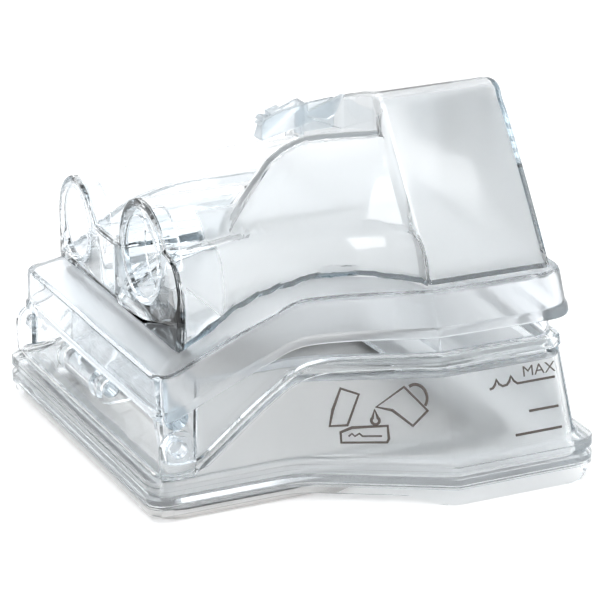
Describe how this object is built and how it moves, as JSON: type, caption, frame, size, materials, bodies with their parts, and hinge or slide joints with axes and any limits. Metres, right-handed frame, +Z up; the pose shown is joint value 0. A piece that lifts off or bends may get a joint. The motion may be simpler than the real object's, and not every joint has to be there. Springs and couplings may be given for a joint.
{
  "type": "humidifier water tub",
  "caption": "Clear water tub of a heated air humidifier: base with steel heater plate and a hinged clear lid with air ports and a tall chamber.",
  "frame": {"origin": "centre of the footprint, at the underside of the heater plate", "axes": "+Z up, +X from the hinged port end to the outer end, -Y the side with the grip and the level marks"},
  "size_m": [0.13, 0.1358, 0.1065],
  "materials": {
    "clear_base": "clear, satin inside",
    "clear_lid": "clear, polished",
    "clear_ports": "clear, polished",
    "clear_hinge": "clear, polished",
    "plate_steel": "drawn stainless",
    "plate_silicone": "matt",
    "lid_silicone": "matt"
  },
  "bodies": {
    "base": {"base_pan": "clear_base", "heater_plate": "plate_steel", "plate_seal": "plate_silicone", "hinge_rod": "clear_hinge", "near_hinge_pin": "clear_hinge", "far_hinge_pin": "clear_hinge", "lid_seal": "lid_silicone"},
    "lid": {"lid_shell": "clear_lid", "rear_brow": "clear_lid", "near_port_collar": "clear_ports", "far_port_collar": "clear_ports", "air_guide": "clear_ports", "hinge_carrier": "clear_hinge"}
  },
  "joints": [
    {"name": "lid_hinge", "type": "hinge", "parent": "base", "child": "lid", "pos_m": [-0.0565, 0, 0.0225], "axis": [0, -1, 0], "range_deg": [0, 105]}
  ]
}
